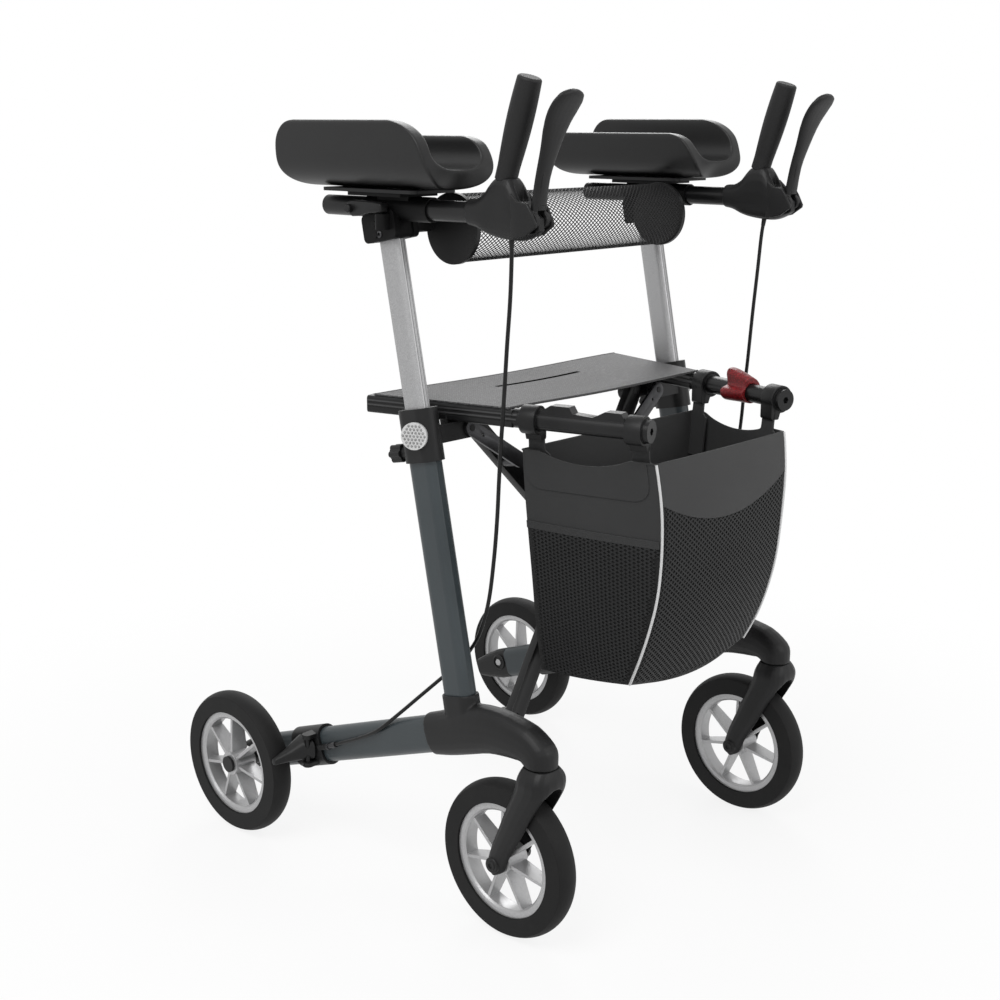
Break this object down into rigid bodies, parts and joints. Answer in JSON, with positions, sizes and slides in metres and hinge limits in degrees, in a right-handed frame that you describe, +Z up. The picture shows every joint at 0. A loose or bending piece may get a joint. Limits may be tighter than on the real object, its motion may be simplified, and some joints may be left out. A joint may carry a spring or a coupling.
{
  "type": "upright walker",
  "caption": "Upright four-wheeled walker with forearm pads, hand brakes, height-adjustable columns, a seat, a front bag and a scissor brace that folds it flat from side to side.",
  "frame": {"origin": "on the floor, at the middle of the part's footprint", "axes": "+X to the user's left, -Y forward in the walking direction, +Z up"},
  "size_m": [0.626, 0.7006, 1.0188],
  "materials": {
    "anthracite": "satin powder coat",
    "silver": "fine bead-blasted anodised",
    "cast_black": "fine moulded grain",
    "black_plastic": "fine moulded grain",
    "black_metal": "satin black coat",
    "steel": "dark zinc",
    "rim": "silver moulding",
    "tyre": "soft rubber",
    "grip": "soft grip",
    "pad": "soft skin",
    "reflector": "prismatic",
    "cable": "smooth jacket",
    "seat_cloth": "woven, coated",
    "bag_cloth": "woven with mesh panels",
    "net": "open knitted net",
    "red": "glossy"
  },
  "bodies": {
    "right_frame": {"right_front_casting": "cast_black", "right_lower_tube": "anthracite", "right_upright_tube": "anthracite", "right_height_collar": "black_plastic", "right_reflector": "reflector", "right_rear_end": "black_plastic", "right_brake_bracket": "black_plastic", "right_brake_cable": "cable"},
    "right_column": {"right_inner_tube": "silver", "right_top_block": "black_plastic", "right_roll_disc": "black_plastic", "roll_net": "net"},
    "right_handle": {"right_handle_tube": "black_metal", "right_brake_housing": "black_plastic", "right_hand_grip": "grip"},
    "right_forearm": {"right_pad_plate": "black_plastic", "right_arm_pad": "pad"},
    "right_rear_wheel": {"right_rear_rim": "rim", "right_rear_tyre": "tyre"},
    "right_caster": {"right_caster_fork": "cast_black"},
    "right_caster_wheel": {"right_caster_rim": "rim", "right_caster_tyre": "tyre"},
    "right_brace": {"right_cross_brace": "black_metal"},
    "right_link": {"right_fold_link": "steel"},
    "right_rail": {"right_seat_rail": "black_metal"},
    "right_lever": {"right_brake_lever": "black_plastic"},
    "right_shoe": {"right_brake_shoe": "black_plastic"},
    "right_clamp": {"right_clamp_lever": "black_plastic"},
    "right_knob": {"right_height_knob": "black_plastic"},
    "left_frame": {"left_front_casting": "cast_black", "left_lower_tube": "anthracite", "left_upright_tube": "anthracite", "left_height_collar": "black_plastic", "left_reflector": "reflector", "left_rear_end": "black_plastic", "left_brake_bracket": "black_plastic", "left_brake_cable": "cable"},
    "left_column": {"left_inner_tube": "silver", "left_top_block": "black_plastic", "left_roll_disc": "black_plastic"},
    "left_handle": {"left_handle_tube": "black_metal", "left_brake_housing": "black_plastic", "left_hand_grip": "grip"},
    "left_forearm": {"left_pad_plate": "black_plastic", "left_arm_pad": "pad"},
    "left_rear_wheel": {"left_rear_rim": "rim", "left_rear_tyre": "tyre"},
    "left_caster": {"left_caster_fork": "cast_black"},
    "left_caster_wheel": {"left_caster_rim": "rim", "left_caster_tyre": "tyre"},
    "left_brace": {"left_cross_brace": "black_metal"},
    "left_link": {"left_fold_link": "steel"},
    "left_rail": {"left_seat_rail": "black_metal", "seat_cloth": "seat_cloth", "bag": "bag_cloth"},
    "left_lever": {"left_brake_lever": "black_plastic"},
    "left_shoe": {"left_brake_shoe": "black_plastic"},
    "left_clamp": {"left_clamp_lever": "black_plastic"},
    "left_knob": {"left_height_knob": "black_plastic"},
    "lock": {"fold_lock": "red"}
  },
  "joints": [
    {"name": "fold", "type": "hinge", "parent": "right_frame", "child": "right_brace", "pos_m": [-0.168, -0.15199, 0.23999], "axis": [0, -0.9806, 0.196], "range_deg": [0, 30], "deforming": ["seat_cloth", "bag", "roll_net"]},
    {"name": "scissor", "type": "hinge", "parent": "right_brace", "child": "left_brace", "pos_m": [0, -0.11362, 0.43202], "axis": [0, -0.9806, 0.196], "range_deg": [-62, 2], "deforming": ["seat_cloth", "bag", "roll_net"]},
    {"name": "left_foot", "type": "hinge", "parent": "left_brace", "child": "left_frame", "pos_m": [0.168, -0.15199, 0.23999], "axis": [0, -0.9806, 0.196], "range_deg": [-2, 32], "deforming": ["seat_cloth", "bag", "roll_net"]},
    {"name": "left_head", "type": "hinge", "parent": "right_brace", "child": "left_rail", "pos_m": [0.152, -0.07891, 0.60576], "axis": [0, -0.9806, 0.196], "range_deg": [-32, 2], "deforming": ["seat_cloth", "bag", "roll_net"]},
    {"name": "right_head", "type": "hinge", "parent": "left_brace", "child": "right_rail", "pos_m": [-0.152, -0.07891, 0.60576], "axis": [0, -0.9806, 0.196], "range_deg": [-2, 32], "deforming": ["seat_cloth", "bag", "roll_net"]},
    {"name": "right_link_pivot", "type": "hinge", "parent": "right_frame", "child": "right_link", "pos_m": [-0.185, -0.07969, 0.60184], "axis": [0, -0.9806, 0.196], "range_deg": [-2, 92]},
    {"name": "left_link_pivot", "type": "hinge", "parent": "left_frame", "child": "left_link", "pos_m": [0.185, -0.07969, 0.60184], "axis": [0, -0.9806, 0.196], "range_deg": [-92, 2]},
    {"name": "right_height", "type": "slide", "parent": "right_frame", "child": "right_column", "axis": [0, 0.196, 0.9806], "range_m": [-0.15, 0.06], "deforming": ["right_brake_cable", "roll_net"]},
    {"name": "right_reach", "type": "slide", "parent": "right_column", "child": "right_handle", "axis": [0, -1, 0], "range_m": [-0.03, 0.06], "deforming": ["right_brake_cable"]},
    {"name": "right_forearm_turn", "type": "hinge", "parent": "right_column", "child": "right_forearm", "pos_m": [-0.246, -0.035, 0.889], "axis": [0, 0, 1], "range_deg": [-15, 15]},
    {"name": "right_brake", "type": "hinge", "parent": "right_handle", "child": "right_lever", "pos_m": [-0.246, -0.264, 0.866], "axis": [-1, 0, 0], "range_deg": [0, 14], "stiffness_Nm_per_rad": 2, "springref_deg": -5.73},
    {"name": "right_shoe_pivot", "type": "hinge", "parent": "right_frame", "child": "right_shoe", "pos_m": [-0.271, 0.124, 0.1455], "axis": [0, 0, -1], "range_deg": [-0.5, 3.5]},
    {"name": "right_clamp_turn", "type": "hinge", "parent": "right_column", "child": "right_clamp", "pos_m": [-0.273, -0.044, 0.871], "axis": [0, 0, 1], "range_deg": [0, 100]},
    {"name": "right_knob_turn", "type": "hinge", "parent": "right_frame", "child": "right_knob", "pos_m": [-0.246, -0.08322, 0.58418], "axis": [0, 0.9806, -0.196], "continuous": true},
    {"name": "right_rear_spin", "type": "hinge", "parent": "right_frame", "child": "right_rear_wheel", "pos_m": [-0.2925, 0.249, 0.1], "axis": [1, 0, 0], "continuous": true},
    {"name": "right_swivel", "type": "hinge", "parent": "right_frame", "child": "right_caster", "pos_m": [-0.246, -0.275, 0.24], "axis": [0, 0, 1], "continuous": true},
    {"name": "right_caster_spin", "type": "hinge", "parent": "right_caster", "child": "right_caster_wheel", "pos_m": [-0.246, -0.223, 0.1], "axis": [1, 0, 0], "continuous": true},
    {"name": "left_height", "type": "slide", "parent": "left_frame", "child": "left_column", "axis": [0, 0.196, 0.9806], "range_m": [-0.15, 0.06], "deforming": ["left_brake_cable", "roll_net"]},
    {"name": "left_reach", "type": "slide", "parent": "left_column", "child": "left_handle", "axis": [0, -1, 0], "range_m": [-0.03, 0.06], "deforming": ["left_brake_cable"]},
    {"name": "left_forearm_turn", "type": "hinge", "parent": "left_column", "child": "left_forearm", "pos_m": [0.246, -0.035, 0.889], "axis": [0, 0, -1], "range_deg": [-15, 15]},
    {"name": "left_brake", "type": "hinge", "parent": "left_handle", "child": "left_lever", "pos_m": [0.246, -0.264, 0.866], "axis": [-1, 0, 0], "range_deg": [0, 14], "stiffness_Nm_per_rad": 2, "springref_deg": -5.73},
    {"name": "left_shoe_pivot", "type": "hinge", "parent": "left_frame", "child": "left_shoe", "pos_m": [0.271, 0.124, 0.1455], "axis": [0, 0, 1], "range_deg": [-0.5, 3.5]},
    {"name": "left_clamp_turn", "type": "hinge", "parent": "left_column", "child": "left_clamp", "pos_m": [0.273, -0.044, 0.871], "axis": [0, 0, -1], "range_deg": [0, 100]},
    {"name": "left_knob_turn", "type": "hinge", "parent": "left_frame", "child": "left_knob", "pos_m": [0.246, -0.08322, 0.58418], "axis": [0, 0.9806, -0.196], "continuous": true},
    {"name": "left_rear_spin", "type": "hinge", "parent": "left_frame", "child": "left_rear_wheel", "pos_m": [0.2925, 0.249, 0.1], "axis": [1, 0, 0], "continuous": true},
    {"name": "left_swivel", "type": "hinge", "parent": "left_frame", "child": "left_caster", "pos_m": [0.246, -0.275, 0.24], "axis": [0, 0, 1], "continuous": true},
    {"name": "left_caster_spin", "type": "hinge", "parent": "left_caster", "child": "left_caster_wheel", "pos_m": [0.246, -0.223, 0.1], "axis": [1, 0, 0], "continuous": true},
    {"name": "lock_turn", "type": "hinge", "parent": "left_rail", "child": "lock", "pos_m": [0.16046, -0.24788, 0.62776], "axis": [-0.2419, -0.9703, 0], "range_deg": [0, 60]}
  ],
  "couplings": [
    {"joint": "scissor", "follows": "fold", "ratio": -2},
    {"joint": "left_foot", "follows": "fold", "ratio": 1},
    {"joint": "left_head", "follows": "fold", "ratio": -1},
    {"joint": "right_head", "follows": "fold", "ratio": 1},
    {"joint": "right_link_pivot", "follows": "fold", "ratio": 3},
    {"joint": "left_link_pivot", "follows": "fold", "ratio": -3},
    {"joint": "left_height", "follows": "right_height", "ratio": 1},
    {"joint": "right_shoe_pivot", "follows": "right_brake", "ratio": 0.21},
    {"joint": "left_shoe_pivot", "follows": "left_brake", "ratio": 0.21}
  ]
}
